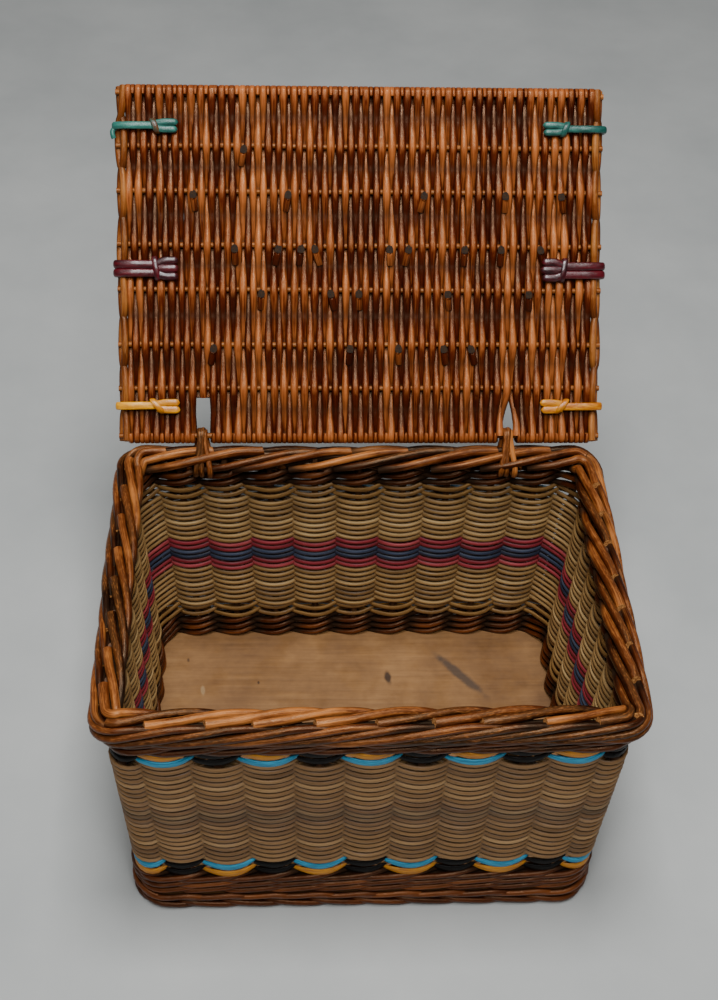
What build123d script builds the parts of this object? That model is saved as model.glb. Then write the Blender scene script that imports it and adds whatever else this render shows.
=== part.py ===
"""Sewing basket woven from willow and cane, with a flat woven lid hinged on two willow loops.

Millimetres. +X runs to the right, +Y to the back, +Z up. The origin is on the ground, under the
middle of the basket. The lid is drawn open, leaning back on its stop.
"""

import os
from math import cos, radians, sin, sqrt

from build123d import *

os.makedirs("parts", exist_ok=True)

# Basket body: half sizes are from the middle of the basket. The wall's are at the ground, and its
# flares are how far each side has leaned outwards by the underside of the rim.
WALL_HALF_X = 145.5
WALL_HALF_Y = 110.5
WALL_FLARE_X = 10.5
WALL_FLARE_Y = 3.0
WALL_THICKNESS = 11.5
WALL_CORNER = 16.0
FOOT_OUTSET = 8.0
FOOT_HEIGHT = 12.0
RIM_HALF_X = 168.0
RIM_HALF_Y = 123.0
RIM_CORNER = 24.0
RIM_INSET = 9.5
RIM_BOTTOM = 182.0
RIM_TOP = 201.0
RIM_TOP_ROUNDING = 7.0
RIM_UNDER_ROUNDING = 4.0

# Base board, let into the top of the foot border
BOARD_TOP = 17.0
BOARD_OUTSET = 4.0

# Stakes: round rods that stand in the wall, with everything woven round them. Spacings are at the ground.
STAKE_DIAMETER = 4.8
STAKE_HOLE_DIAMETER = 5.0
STAKE_BOTTOM = 3.0
STAKE_TOP = 196.0
FRONT_STAKE_SPACING = 29.0
FRONT_STAKE_COUNT = 9
SIDE_STAKE_SPACING = 25.6
SIDE_STAKE_COUNT = 7

# Woven bands of the wall, from the bottom up, with the height where each one ends
WALL_BANDS = {
    "lower_wale": 36.5,
    "lower_yellow_round": 44.0,
    "lower_blue_round": 51.5,
    "lower_tan_weave": 90.0,
    "lower_red_rounds": 99.5,
    "navy_rounds": 109.0,
    "upper_red_rounds": 118.5,
    "upper_tan_weave": 160.5,
    "upper_blue_round": 167.0,
    "upper_yellow_round": 173.5,
    "upper_wale": RIM_BOTTOM,
}

# Lid: distances along the lid are from the hinge axis, in the middle of its back rod
HINGE_Y = 121.5
HINGE_Z = 209.5
LID_LEAN = 39.8
LID_LENGTH = 230.0
LID_HALF_X = 158.0
LID_THICKNESS = 9.0
LID_END_RADIUS = 5.0
ROD_DIAMETER = 5.2
ROD_HALF_LENGTH = 164.5
ROD_CLEARANCE = 0.05
RIB_PLACES = (32.5, 62.0, 99.0, 129.0, 165.0, 195.0)
EDGE_WIDTH = 7.0

# Coloured ties lashed round the side edges of the lid. For each: its distance along the lid, how wide
# its strands are from the knot to the edge, and how wide its folded end is inside the knot
TIE_SIZES = {"yellow": (20.0, 6.2, 12.4), "maroon": (112.5, 13.0, 17.4), "turquoise": (207.0, 6.2, 12.4)}
TIE_THICKNESS = 2.4
TIE_INNER_END = 122.0
TIE_KNOT_START = 134.5
TIE_KNOT_END = 142.5
TIE_KNOT_RISE = 1.0
TIE_BACK_END = 148.0

# Hinge loops: twisted willow bound round the lid's back rod and the back of the rim
LOOP_PLACES = {"left": -108.0, "right": 101.5}
LOOP_WIDTH = 7.0
LOOP_THICKNESS = 3.0
LOOP_CLEARANCE = 0.08
LOOP_FOOT_Y = 109.7
LOOP_FOOT_Z = 191.7
LOOP_FOOT_RADIUS = 5.0

# Gaps in the lid's weave for the loops: the left one is square, the right one narrows to a point
GAP_WIDTH = 9.4
GAP_END = 22.5
GAP_SHOULDER = 8.0
GAP_POINT = 25.5

SIDES = {"left": -1, "right": 1}


def wall_half_sizes(height):
    """Half sizes of the wall's middle surface at a height."""
    share = height / RIM_BOTTOM
    return WALL_HALF_X + WALL_FLARE_X * share, WALL_HALF_Y + WALL_FLARE_Y * share


def stake_centres(height):
    """Where the stakes are at a height: along the four sides, and one in the middle of each corner."""
    half_x, half_y = wall_half_sizes(height)
    inset = WALL_CORNER * (1 - sqrt(0.5))
    front_spacing = FRONT_STAKE_SPACING * half_x / WALL_HALF_X
    side_spacing = SIDE_STAKE_SPACING * half_y / WALL_HALF_Y
    front = [(i - FRONT_STAKE_COUNT // 2) * front_spacing for i in range(FRONT_STAKE_COUNT)]
    side = [(i - SIDE_STAKE_COUNT // 2) * side_spacing for i in range(SIDE_STAKE_COUNT)]
    centres = [(x, sign * half_y, height) for x in front for sign in (-1, 1)]
    centres += [(sign * half_x, y, height) for y in side for sign in (-1, 1)]
    centres += [
        (right * (half_x - inset), back * (half_y - inset), height) for right in (-1, 1) for back in (-1, 1)
    ]
    return centres


def wall_block(bottom, top, outset, mode=Mode.ADD):
    """Add or cut all that is inside the leaning outline this far outside the wall's middle surface."""
    sections = []
    for height in (bottom, top):
        half_x, half_y = wall_half_sizes(height)
        with BuildSketch(Plane.XY.offset(height)) as section:
            RectangleRounded(2 * (half_x + outset), 2 * (half_y + outset), WALL_CORNER + outset)
        sections.append(section.sketch)
    loft(sections, ruled=True, mode=mode)


def stake_rods(bottom, top, diameter):
    """Add the stakes, which lean outwards with the wall."""
    for foot, head in zip(stake_centres(bottom), stake_centres(top)):
        axis = Vector(head) - Vector(foot)
        with BuildSketch(Plane(origin=foot, z_dir=axis)) as circle:
            Circle(diameter / 2)
        extrude(circle.sketch, amount=axis.length)


def loop_outline(outset, mode=Mode.ADD):
    """Draw a hinge loop's outline seen from the right, this far outside its inner surface.

    It is a belt round two circles: the lid's back rod above and the back of the rim below.
    """
    top_radius = ROD_DIAMETER / 2 + LOOP_CLEARANCE + outset
    foot_radius = LOOP_FOOT_RADIUS + outset
    with BuildSketch(mode=Mode.PRIVATE) as circles:
        with Locations((HINGE_Y, HINGE_Z)):
            Circle(top_radius)
        with Locations((LOOP_FOOT_Y, LOOP_FOOT_Z)):
            Circle(foot_radius)
    make_hull(circles.edges(), mode=mode)


def hinge_loop(x, mode=Mode.ADD):
    """Add one hinge loop, or cut the groove that it lies in."""
    with BuildSketch(Plane.YZ.offset(x - LOOP_WIDTH / 2)) as belt:
        loop_outline(LOOP_THICKNESS)
        loop_outline(0, mode=Mode.SUBTRACT)
    extrude(belt.sketch, amount=LOOP_WIDTH, mode=mode)


def export(part, name):
    """Label a finished piece and write it."""
    part.label = name
    export_step(part, f"parts/{name}.step")


# ---------------------------------------------------------------- basket body

WALL_IN = WALL_THICKNESS / 2

with BuildPart() as side_stakes:
    stake_rods(STAKE_BOTTOM, STAKE_TOP, STAKE_DIAMETER)
export(side_stakes.part, "side_stakes")

# The room that the stakes need, cut out of all that is woven round them
with BuildPart() as stake_holes:
    stake_rods(STAKE_BOTTOM, STAKE_TOP, STAKE_HOLE_DIAMETER)

with BuildPart() as base_board:
    wall_block(FOOT_HEIGHT, BOARD_TOP, BOARD_OUTSET)
    add(stake_holes.part, mode=Mode.SUBTRACT)
export(base_board.part, "base_board")

with BuildPart() as foot_border:
    wall_block(0, BOARD_TOP, FOOT_OUTSET)
    wall_block(0, FOOT_HEIGHT, -WALL_IN, mode=Mode.SUBTRACT)
    wall_block(FOOT_HEIGHT, BOARD_TOP, BOARD_OUTSET, mode=Mode.SUBTRACT)
    add(stake_holes.part, mode=Mode.SUBTRACT)
export(foot_border.part, "foot_border")

band_bottom = BOARD_TOP
for band_name, band_top in WALL_BANDS.items():
    with BuildPart() as wall_band:
        wall_block(band_bottom, band_top, WALL_IN)
        wall_block(band_bottom, band_top, -WALL_IN, mode=Mode.SUBTRACT)
        add(stake_holes.part, mode=Mode.SUBTRACT)
    export(wall_band.part, band_name)
    band_bottom = band_top

with BuildPart() as rim_border:
    with BuildSketch(Plane.XY.offset(RIM_BOTTOM)):
        RectangleRounded(2 * RIM_HALF_X, 2 * RIM_HALF_Y, RIM_CORNER)
    extrude(amount=RIM_TOP - RIM_BOTTOM)
    fillet(rim_border.faces().sort_by(Axis.Z)[-1].edges(), radius=RIM_TOP_ROUNDING)
    fillet(rim_border.faces().sort_by(Axis.Z)[0].edges(), radius=RIM_UNDER_ROUNDING)
    with BuildSketch(Plane.XY.offset(RIM_BOTTOM)):
        rim_inner_x, rim_inner_y = (half - RIM_INSET for half in wall_half_sizes(RIM_BOTTOM))
        RectangleRounded(2 * rim_inner_x, 2 * rim_inner_y, WALL_CORNER - RIM_INSET)
    extrude(amount=RIM_TOP - RIM_BOTTOM, mode=Mode.SUBTRACT)
    add(stake_holes.part, mode=Mode.SUBTRACT)
    for loop_x in LOOP_PLACES.values():
        hinge_loop(loop_x, mode=Mode.SUBTRACT)
export(rim_border.part, "rim_border")

for side, loop_x in LOOP_PLACES.items():
    with BuildPart() as loop:
        hinge_loop(loop_x)
    export(loop.part, f"{side}_hinge_loop")

# ---------------------------------------------------------------- lid

# The lid's own plane: x to the right, y from the hinge to the front edge, z out of its inner face
LID = Plane(
    origin=(0, HINGE_Y, HINGE_Z),
    x_dir=(1, 0, 0),
    z_dir=(0, -cos(radians(LID_LEAN)), sin(radians(LID_LEAN))),
)


def lid_section(x):
    """The plane across the lid at x: its x axis runs along the lid, its y axis out of the inner face."""
    return Plane(origin=LID.from_local_coords((x, 0, 0)), x_dir=LID.y_dir, z_dir=LID.x_dir)


def lid_rod(place, diameter, half_length, mode=Mode.ADD):
    """Add a round rod across the lid, or cut the bore that it lies in."""
    with BuildSketch(lid_section(-half_length)) as circle:
        with Locations((place, 0)):
            Circle(diameter / 2)
    extrude(circle.sketch, amount=2 * half_length, mode=mode)


def lid_slab(left, right):
    """Add a slab of the lid between two x places, rounded round its front and back rods."""
    with BuildSketch(lid_section(left)) as section:
        with Locations((LID_LENGTH / 2, 0)):
            Rectangle(LID_LENGTH, LID_THICKNESS)
        with Locations((0, 0), (LID_LENGTH, 0)):
            Circle(LID_END_RADIUS)
    extrude(section.sketch, amount=right - left)
    for place in (0, *RIB_PLACES, LID_LENGTH):
        lid_rod(place, ROD_DIAMETER + 2 * ROD_CLEARANCE, ROD_HALF_LENGTH, mode=Mode.SUBTRACT)


for rod_name, rod_place in (("lid_back_rod", 0), ("lid_front_rod", LID_LENGTH)):
    with BuildPart() as end_rod:
        lid_rod(rod_place, ROD_DIAMETER, ROD_HALF_LENGTH)
    export(end_rod.part, rod_name)

for number, rib_place in enumerate(RIB_PLACES, start=1):
    with BuildPart() as rib:
        lid_rod(rib_place, ROD_DIAMETER, ROD_HALF_LENGTH)
    export(rib.part, f"lid_rib_{number}")

with BuildPart() as lid_weave:
    lid_slab(-LID_HALF_X, LID_HALF_X)
    half_gap = GAP_WIDTH / 2
    with BuildSketch(LID.offset(-LID_END_RADIUS)):
        with Locations((LOOP_PLACES["left"], GAP_END / 2 - LID_END_RADIUS / 2)):
            Rectangle(GAP_WIDTH, GAP_END + LID_END_RADIUS)
        with Locations((LOOP_PLACES["right"], 0)):
            Polygon(
                (-half_gap, -LID_END_RADIUS),
                (half_gap, -LID_END_RADIUS),
                (half_gap, GAP_SHOULDER),
                (0, GAP_POINT),
                (-half_gap, GAP_SHOULDER),
                align=None,
            )
    extrude(amount=2 * LID_END_RADIUS, mode=Mode.SUBTRACT)
export(lid_weave.part, "lid_weave")

for side, sign in SIDES.items():
    with BuildPart() as edge_rod:
        edges_x = sorted((sign * LID_HALF_X, sign * (LID_HALF_X + EDGE_WIDTH)))
        lid_slab(*edges_x)
    export(edge_rod.part, f"lid_{side}_edge_rod")


def tie_block(sign, place, width, near, far, low, high):
    """Add one block of a tie: near and far from the lid's middle, low and high from its middle plane."""
    with BuildSketch(LID.offset(low)) as block:
        with Locations((sign * (near + far) / 2, place)):
            Rectangle(far - near, width)
    extrude(block.sketch, amount=high - low)


LID_FACE = LID_THICKNESS / 2
TIE_FACE = LID_FACE + TIE_THICKNESS
KNOT_FACE = TIE_FACE + TIE_KNOT_RISE
LID_EDGE = LID_HALF_X + EDGE_WIDTH
TIE_EDGE = LID_EDGE + TIE_THICKNESS

for colour, (place, strand_width, fold_width) in TIE_SIZES.items():
    for side, sign in SIDES.items():
        with BuildPart() as tie:
            tie_block(sign, place, fold_width, TIE_INNER_END, TIE_KNOT_START, LID_FACE, TIE_FACE)
            tie_block(sign, place, fold_width, TIE_KNOT_START, TIE_KNOT_END, LID_FACE, KNOT_FACE)
            tie_block(sign, place, strand_width, TIE_KNOT_END, TIE_EDGE, LID_FACE, TIE_FACE)
            tie_block(sign, place, strand_width, LID_EDGE, TIE_EDGE, -LID_FACE, LID_FACE)
            tie_block(sign, place, strand_width, TIE_BACK_END, TIE_EDGE, -TIE_FACE, -LID_FACE)
        export(tie.part, f"{side}_{colour}_tie")
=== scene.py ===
"""Looks of the sewing basket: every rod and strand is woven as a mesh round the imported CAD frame.

Metres. Wall pieces are laid out in wall places: turn counts stakes round the basket, starting from the
front left corner and going to the right along the front; out is the distance outside the wall's middle
surface; z is the height. Lid pieces are laid out as x to the right, along from the hinge, rise out of
the inner face.
"""

import math

import bpy
import numpy as np
from mathutils import Matrix, Vector


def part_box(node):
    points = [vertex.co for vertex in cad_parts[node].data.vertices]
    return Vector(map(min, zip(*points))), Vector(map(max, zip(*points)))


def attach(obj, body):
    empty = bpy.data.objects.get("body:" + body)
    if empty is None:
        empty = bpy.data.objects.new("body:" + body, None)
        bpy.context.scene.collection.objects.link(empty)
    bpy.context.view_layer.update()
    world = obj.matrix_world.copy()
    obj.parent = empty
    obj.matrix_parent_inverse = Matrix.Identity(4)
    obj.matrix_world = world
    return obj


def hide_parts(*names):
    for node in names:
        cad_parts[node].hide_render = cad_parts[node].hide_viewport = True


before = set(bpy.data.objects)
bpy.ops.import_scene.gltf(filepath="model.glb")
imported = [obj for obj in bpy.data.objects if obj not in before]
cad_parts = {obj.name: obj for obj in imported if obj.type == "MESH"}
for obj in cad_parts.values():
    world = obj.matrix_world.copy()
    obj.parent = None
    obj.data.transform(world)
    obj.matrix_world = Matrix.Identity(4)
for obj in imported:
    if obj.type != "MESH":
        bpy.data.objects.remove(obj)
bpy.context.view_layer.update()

MM = 0.001
rng = np.random.default_rng(11)


# ---------------------------------------------------------------- strands

class Strands:
    """Gathers rods and strands into one mesh, with what their material needs stored on it."""

    def __init__(self):
        self.points = []
        self.loops = []
        self.sizes = []
        self.ends = []
        self.values = {"grain": [], "tone": [], "crown": [], "depth": []}
        self.count = 0

    def add(self, path, up, across, thick, sides=8, closed=False, square=1.0, tone=None, crown=1.0,
            depth=0.0, groove=0.35, slants=(0.0, 0.0)):
        """Sweep an oval along a path. across and thick are half sizes; thick is measured along up.

        groove is how much painted shade darkens the flanks, where neighbours touch. depth is how far the
        path lies from the middle of a weave; what faces that middle gets painted shade.
        """
        path = np.asarray(path, float)
        n = len(path)
        across, thick, crown, depth = (
            np.broadcast_to(np.asarray(v, float), (n,)) for v in (across, thick, crown, depth)
        )
        up = np.broadcast_to(np.asarray(up, float), (n, 3))
        tangent = np.roll(path, -1, 0) - np.roll(path, 1, 0) if closed else np.gradient(path, axis=0)
        tangent = unit(tangent)
        side = unit(np.cross(tangent, up))
        top = np.cross(side, tangent)
        angle = 2 * np.pi * (np.arange(sides) + 0.5) / sides
        c = np.sign(np.cos(angle)) * np.abs(np.cos(angle)) ** square
        s = np.sign(np.sin(angle)) * np.abs(np.sin(angle)) ** square
        lift = thick[:, None] * s
        ring = path[:, None] + (across[:, None] * c)[..., None] * side[:, None]
        ring = ring + lift[..., None] * top[:, None]
        if not closed:
            ring[0] += slants[0] * lift[0][:, None] * tangent[0]
            ring[-1] += slants[1] * lift[-1][:, None] * tangent[-1]
        steps = np.linalg.norm(np.diff(path, axis=0), axis=1)
        length = np.concatenate([[0], np.cumsum(steps)])
        grain = np.empty((n, sides, 3))
        shift = rng.random(3)
        grain[..., 0] = (length + shift[0])[:, None]
        grain[..., 1] = across[:, None] * c + shift[1]
        grain[..., 2] = lift + shift[2]
        tone = rng.random() if tone is None else tone
        # Painted shade: crown is lowered on the flanks and on the side facing the middle of the weave; the
        # materials darken where crown is low.
        away = (depth[:, None] + lift) * lift / thick[:, None]
        open_share = np.interp(away, (-1.8 * MM, 0), (0.3, 1.0))
        rows = {
            "grain": grain,
            "tone": np.full((n, sides), tone),
            "crown": crown[:, None] * (1 - groove * np.abs(np.cos(angle)) ** 4) * open_share,
            "depth": depth[:, None] + lift,
        }
        around = np.arange(sides)
        along = np.arange(n if closed else n - 1)
        a = along[:, None] * sides
        b = ((along + 1) % n)[:, None] * sides
        k, k2 = around[None], (around[None] + 1) % sides
        quads = np.stack([a + k, b + k, b + k2, a + k2], -1).reshape(-1, 4) + self.count
        self.points.append(ring.reshape(-1, 3))
        for name, row in rows.items():
            self.values[name].append(row.reshape(n * sides, -1))
        self.loops.append(quads.ravel())
        self.sizes.append(np.full(len(quads), 4))
        self.ends.append(np.zeros(len(quads), int))
        self.count += n * sides
        if closed:
            return
        for at, order in ((0, around), (n - 1, around[::-1])):
            self.points.append(ring[at])
            for name, row in rows.items():
                self.values[name].append(row[at].reshape(sides, -1))
            self.loops.append(order + self.count)
            self.sizes.append(np.array([sides]))
            self.ends.append(np.ones(1, int))
            self.count += sides

    def build(self, name, body, nodes, slot, *materials):
        """Make the piece, give it its materials, put it under its body and hide the CAD nodes it stands for.
        """
        mesh = bpy.data.meshes.new(name)
        points = np.concatenate(self.points)
        loops = np.concatenate(self.loops).astype(np.int32)
        sizes = np.concatenate(self.sizes)
        starts = np.concatenate([[0], np.cumsum(sizes)[:-1]]).astype(np.int32)
        mesh.vertices.add(len(points))
        mesh.vertices.foreach_set("co", points.ravel())
        mesh.loops.add(len(loops))
        mesh.loops.foreach_set("vertex_index", loops)
        mesh.polygons.add(len(sizes))
        mesh.polygons.foreach_set("loop_start", starts)
        for material in materials:
            mesh.materials.append(material)
        if len(materials) > 1:
            mesh.polygons.foreach_set("material_index", np.concatenate(self.ends).astype(np.int32))
        mesh.update(calc_edges=True)
        mesh.validate()
        mesh.shade_smooth()
        for key, rows in self.values.items():
            rows = np.concatenate(rows)
            kind, field = ("FLOAT_VECTOR", "vector") if rows.shape[1] == 3 else ("FLOAT", "value")
            mesh.attributes.new(key, kind, "POINT").data.foreach_set(field, rows.ravel())
        piece = bpy.data.objects.new(name, mesh)
        bpy.context.scene.collection.objects.link(piece)
        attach(piece, body)
        for node in nodes:
            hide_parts(node)
        return piece


def unit(v):
    """Scale each row to length one."""
    return v / np.maximum(np.linalg.norm(v, axis=-1, keepdims=True), 1e-12)


def between(values, place):
    """Read a smooth curve through rows of values at a place, with weights for the four nearest."""
    i = np.floor(place).astype(int)
    f = (place - i)[:, None] if values[0].ndim else place - i
    p0, p1, p2, p3 = (values[i + k] for k in (0, 1, 2, 3))
    return 0.5 * (
        2 * p1 + (p2 - p0) * f + (2 * p0 - 5 * p1 + 4 * p2 - p3) * f**2 + (3 * p1 - p0 - 3 * p2 + p3) * f**3
    )


def cycle(values, place):
    """Read a repeating row of values at a place between them, on a smooth curve."""
    values = np.asarray(values, float)
    n = len(values)
    return between(np.concatenate([values[-1:], values, values[:2]]), np.mod(place, n))


def spline(knots, samples):
    """Points on a smooth curve through all the knots."""
    knots = np.asarray(knots, float)
    padded = np.vstack([2 * knots[0] - knots[1], knots, 2 * knots[-1] - knots[-2], knots[-1:]])
    return between(padded, np.linspace(0, len(knots) - 1, samples))


def wander(turn, size, waves=14):
    """A slow random wave round the basket, the unevenness of hand work."""
    total = 0
    for _ in range(4):
        height = rng.normal()
        count = rng.integers(1, waves)
        phase = rng.random()
        total = total + height * np.sin(2 * np.pi * (count * turn / STAKES + phase))
    return size * total / 2


# ---------------------------------------------------------------- wall places

WALL_OUT = 5.75 * MM
CORNER = 16 * MM
STAKES = 36
band_low, band_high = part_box("lower_wale")[1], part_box("upper_tan_weave")[1]
FLARE_X = (band_high.x - band_low.x) / (band_high.z - band_low.z)
FLARE_Y = (band_high.y - band_low.y) / (band_high.z - band_low.z)
HALF_X = band_low.x - WALL_OUT - FLARE_X * band_low.z
HALF_Y = band_low.y - WALL_OUT - FLARE_Y * band_low.z
ARC = math.pi / 2 * CORNER
FLAT_X = 2 * (HALF_X - CORNER)
FLAT_Y = 2 * (HALF_Y - CORNER)
LEGS = np.array([ARC, FLAT_X, ARC, FLAT_Y] * 2)
PERIMETER = LEGS.sum()
FRONT_STAKES = [29 * MM * i for i in range(-4, 5)]
SIDE_STAKES = [25.6 * MM * i for i in range(-3, 4)]


def stake_places():
    """Distance round the basket at the ground of each stake, from the front left one and back to it."""
    places = [0.0]
    start = ARC / 2
    for half, row in ((FLAT_X / 2, FRONT_STAKES), (FLAT_Y / 2, SIDE_STAKES)) * 2:
        places += [start + half + x for x in row]
        start += 2 * half + ARC
        places.append(start - ARC / 2)
    return np.array(places)


STAKE_AT = stake_places()


def wall(turn, out, z, squeeze=(1.0, 1.0), corner=(CORNER, 1.0)):
    """Points and outward directions at wall places.

    squeeze scales out along the front and back, outside and inside the wall's middle. corner is the
    corner radius at the wall's middle surface, and how fast it grows outwards.
    """
    turn = np.asarray(turn, float)
    out = np.broadcast_to(np.asarray(out, float), turn.shape)
    s = np.interp(np.mod(turn, STAKES), np.arange(STAKES + 1), STAKE_AT) + ARC / 2
    s = np.mod(s, PERIMETER)
    edges = np.concatenate([[0], np.cumsum(LEGS)])
    leg = np.clip(np.searchsorted(edges, s, side="right") - 1, 0, 7)
    share = ((s - edges[leg]) / LEGS[leg])[:, None]
    quarter = leg // 2
    on_arc = (leg % 2 == 0)[:, None]
    angle = (np.pi + (quarter[:, None] + np.where(on_arc, share, 1)) * np.pi / 2)[:, 0]
    normal = np.stack([np.cos(angle), np.sin(angle), np.zeros_like(angle)], -1)
    radius = np.maximum(corner[0] + corner[1] * out, 1.5 * MM)
    z = np.broadcast_to(np.asarray(z, float), turn.shape)
    half_x = HALF_X + FLARE_X * z
    half_y = HALF_Y + FLARE_Y * z
    reach = np.stack([half_x + out, half_y + np.where(out > 0, squeeze[0], squeeze[1]) * out, radius], -1)
    centre = reach - radius[:, None]
    here = centre * np.array([(-1, -1, 0), (1, -1, 0), (1, 1, 0), (-1, 1, 0)])[quarter]
    ahead = centre * np.array([(1, -1, 0), (1, 1, 0), (-1, 1, 0), (-1, -1, 0)])[quarter]
    points = np.where(on_arc, here, here + share * (ahead - here)) + radius[:, None] * normal
    points[:, 2] = z
    return points, normal


# ---------------------------------------------------------------- materials

class Shade:
    """A short way to write a node material."""

    def __init__(self, name):
        self.material = bpy.data.materials.new(name)
        self.material.use_nodes = True
        self.tree = self.material.node_tree
        self.shader = self.tree.nodes["Principled BSDF"]

    def node(self, kind, inputs, **settings):
        made = self.tree.nodes.new(kind)
        for key, value in settings.items():
            setattr(made, key, value)
        for key, value in inputs.items():
            if isinstance(value, bpy.types.NodeSocket):
                self.tree.links.new(value, made.inputs[key])
            else:
                made.inputs[key].default_value = value
        return made

    def number(self, name):
        return self.node("ShaderNodeAttribute", {}, attribute_name=name).outputs["Fac"]

    def grain(self, scale):
        source = self.node("ShaderNodeAttribute", {}, attribute_name="grain").outputs["Vector"]
        return self.node("ShaderNodeMapping", {"Vector": source, "Scale": scale}).outputs["Vector"]

    def place(self, scale=(1, 1, 1)):
        source = self.node("ShaderNodeTexCoord", {}).outputs["Object"]
        return self.node("ShaderNodeMapping", {"Vector": source, "Scale": scale}).outputs["Vector"]

    def noise(self, vector, scale, detail=3.0, roughness=0.6):
        inputs = {"Vector": vector, "Scale": scale, "Detail": detail, "Roughness": roughness}
        return self.node("ShaderNodeTexNoise", inputs).outputs["Fac"]

    def math(self, operation, a, b=0.0, clamp=False):
        return self.node("ShaderNodeMath", {0: a, 1: b}, operation=operation, use_clamp=clamp).outputs[0]

    def spread(self, value, low, high, to_low=0.0, to_high=1.0):
        inputs = {"Value": value, "From Min": low, "From Max": high, "To Min": to_low, "To Max": to_high}
        return self.node("ShaderNodeMapRange", inputs, interpolation_type="SMOOTHSTEP").outputs["Result"]

    def ramp(self, value, *stops):
        made = self.node("ShaderNodeValToRGB", {"Fac": value})
        elements = made.color_ramp.elements
        for index, (place, colour) in enumerate(stops):
            element = elements[index] if index < 2 else elements.new(place)
            element.position = place
            element.color = linear(colour)
        return made.outputs["Color"]

    def mix(self, factor, a, b, blend="MIX"):
        made = self.node("ShaderNodeMix", {}, data_type="RGBA", blend_type=blend)
        for index, value in ((0, factor), (6, a), (7, b)):
            if isinstance(value, bpy.types.NodeSocket):
                self.tree.links.new(value, made.inputs[index])
            elif index:
                made.inputs[index].default_value = linear(value)
            else:
                made.inputs[index].default_value = value
        return made.outputs[2]

    def finish(self, colour, roughness, height, distance, coat=0.0, coat_roughness=0.2, tint=(1, 1, 1, 1)):
        self.tree.links.new(colour, self.shader.inputs["Base Color"])
        self.tree.links.new(roughness, self.shader.inputs["Roughness"])
        bump = self.node("ShaderNodeBump", {"Height": height, "Distance": distance, "Strength": 1.0})
        self.tree.links.new(bump.outputs["Normal"], self.shader.inputs["Normal"])
        self.shader.inputs["Coat Weight"].default_value = coat
        self.shader.inputs["Coat Roughness"].default_value = coat_roughness
        self.shader.inputs["Specular Tint"].default_value = tint
        return self.material


def linear(colour):
    """A colour given as 0 to 255 screen values, as the linear colour that a socket takes."""
    rows = [v / 255 for v in colour[:3]]
    return tuple(v / 12.92 if v <= 0.04045 else ((v + 0.055) / 1.055) ** 2.4 for v in rows) + (1.0,)


WARM = (1.0, 0.66, 0.40, 1)


def willow(name, dark, middle, light, crevice_shade, crest_highlight=0.0, rough=(0.3, 0.5), stops=(0.42, 0.66, 0.92)):
    """Varnished rods: long streaks, each rod its own tone, wear and painted highlight on the crests, painted
    shade where one rod goes under another.
    """
    m = Shade(name)
    streak = m.noise(m.grain((40, 1100, 1100)), 1.0, 4.0)
    fleck = m.noise(m.grain((260, 1500, 1500)), 1.0, 3.0)
    patch = m.noise(m.place(), 30.0, 3.0)
    crown = m.number("crown")
    value = m.math("MULTIPLY", streak, 0.55)
    value = m.math("ADD", value, m.math("MULTIPLY", m.number("tone"), 0.30))
    value = m.math("ADD", value, m.math("MULTIPLY", patch, 0.46))
    colour = m.ramp(value, (stops[0], dark), (stops[2], light), (stops[1], middle))
    # Worn spots where the rod stands out are wear; the added share on the highest crests is painted
    # highlight.
    worn = m.math("MULTIPLY", m.spread(fleck, 0.50, 0.70), m.spread(crown, 0.6, 1.0, 0.0, 0.4))
    worn = m.math("ADD", worn, m.spread(crown, 0.80, 1.0, 0.0, crest_highlight), clamp=True)
    colour = m.mix(worn, colour, light)
    # Painted shade: where crown is low, under crossing rods and on touching flanks, the colour goes towards
    # the shade colour.
    colour = m.mix(m.spread(crown, 0.05, 0.8, 0.95, 0.0), colour, crevice_shade)
    roughness = m.spread(fleck, 0.3, 0.7, rough[0], rough[1])
    roughness = m.math("MAXIMUM", roughness, m.spread(crown, 0.2, 0.6, 0.8, 0.0))
    height = m.math("ADD", m.math("MULTIPLY", streak, 0.7), m.math("MULTIPLY", fleck, 0.5))
    return m.finish(colour, roughness, height, 0.00035, tint=WARM)


def cut_end(name, dark, light):
    """The sawn or sliced end of a rod: pale wood flecked with darker spots."""
    m = Shade(name)
    spots = m.noise(m.place(), 900.0, 3.0)
    colour = m.ramp(spots, (0.38, dark), (0.66, light))
    m.shader.inputs["Specular IOR Level"].default_value = 0.2
    return m.finish(colour, m.spread(spots, 0.3, 0.7, 0.65, 0.9), spots, 0.0003)


def cane(name, outside, inside, rough=(0.45, 0.75)):
    """Unvarnished cane with one range of colours outside the basket and another inside it."""
    m = Shade(name)
    streak = m.noise(m.grain((60, 1300, 1300)), 1.0, 4.0)
    patch = m.noise(m.place((1, 1, 3)), 22.0, 3.0)
    value = m.math("MULTIPLY", streak, 0.5)
    value = m.math("ADD", value, m.math("MULTIPLY", m.number("tone"), 0.30))
    value = m.math("ADD", value, m.math("MULTIPLY", patch, 0.40))
    out_colour = m.ramp(value, (0.36, outside[0]), (0.86, outside[2]), (0.60, outside[1]))
    in_colour = m.ramp(value, (0.36, inside[0]), (0.86, inside[2]), (0.60, inside[1]))
    facing = m.spread(m.number("depth"), -0.8 * MM, 0.8 * MM)
    colour = m.mix(facing, in_colour, out_colour)
    # Painted shade in the creases of the weave, where crown is low.
    colour = m.mix(m.spread(m.number("crown"), 0.0, 0.8, 0.9, 0.0), colour, (22, 11, 5))
    height = m.math("ADD", m.math("MULTIPLY", streak, 0.8), m.math("MULTIPLY", patch, 0.2))
    return m.finish(colour, m.spread(streak, 0.3, 0.7, rough[0], rough[1]), height, 0.0003)


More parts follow.
